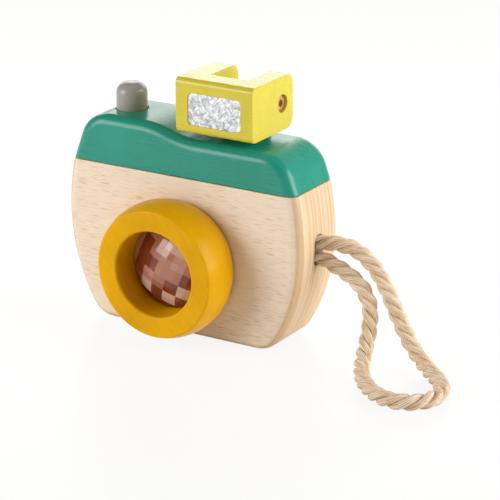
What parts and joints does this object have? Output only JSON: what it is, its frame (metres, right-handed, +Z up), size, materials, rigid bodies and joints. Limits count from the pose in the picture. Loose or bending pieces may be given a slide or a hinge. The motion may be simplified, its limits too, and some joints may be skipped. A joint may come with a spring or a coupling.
{
  "type": "toy camera",
  "caption": "Wooden toy camera with a turning kaleidoscope lens, a sprung shutter button, a tilting flash and a rope wrist loop.",
  "frame": {"origin": "middle of the flat base, on the surface that the camera stands on", "axes": "+X along the camera towards the flash end, -Y out through the lens, +Z up"},
  "size_m": [0.1786, 0.0582, 0.1067],
  "materials": {
    "beech": "clear oiled beech",
    "green_paint": "satin green paint on wood",
    "mustard_paint": "satin mustard stain on turned wood",
    "lemon_paint": "satin lemon paint on wood",
    "grey_paint": "satin grey paint on turned wood",
    "rose_stone": "clear rose acrylic with cut facets",
    "spring_steel": "plain spring wire",
    "bronzed_screw": "bronzed screw",
    "silver_foil": "crinkled prismatic foil",
    "rope": "laid natural fibre rope"
  },
  "bodies": {
    "camera": {"beech_body": "beech", "top_cover": "green_paint", "cover_dowel_left": "beech", "cover_dowel_right": "beech", "lens_pin": "beech", "button_spring": "spring_steel", "hinge_block": "green_paint", "hinge_screw_left": "bronzed_screw", "hinge_screw_right": "bronzed_screw", "wrist_rope": "rope"},
    "lens": {"lens_ring": "mustard_paint", "kaleidoscope_lens": "rose_stone"},
    "button": {"shutter_button": "grey_paint"},
    "flash": {"flash_housing": "lemon_paint", "reflector_foil": "silver_foil"}
  },
  "joints": [
    {"name": "lens_turn", "type": "hinge", "parent": "camera", "child": "lens", "pos_m": [0, -0.02, 0.0315], "axis": [0, 1, 0], "continuous": true},
    {"name": "button_press", "type": "slide", "parent": "camera", "child": "button", "axis": [0, 0, -1], "range_m": [0, 0.0045], "stiffness_N_per_m": 300, "springref_m": -0.003, "deforming": ["button_spring"]},
    {"name": "flash_tilt", "type": "hinge", "parent": "camera", "child": "flash", "pos_m": [0.017, 0.00695, 0.0957], "axis": [-1, 0, 0], "range_deg": [-4, 180]}
  ]
}
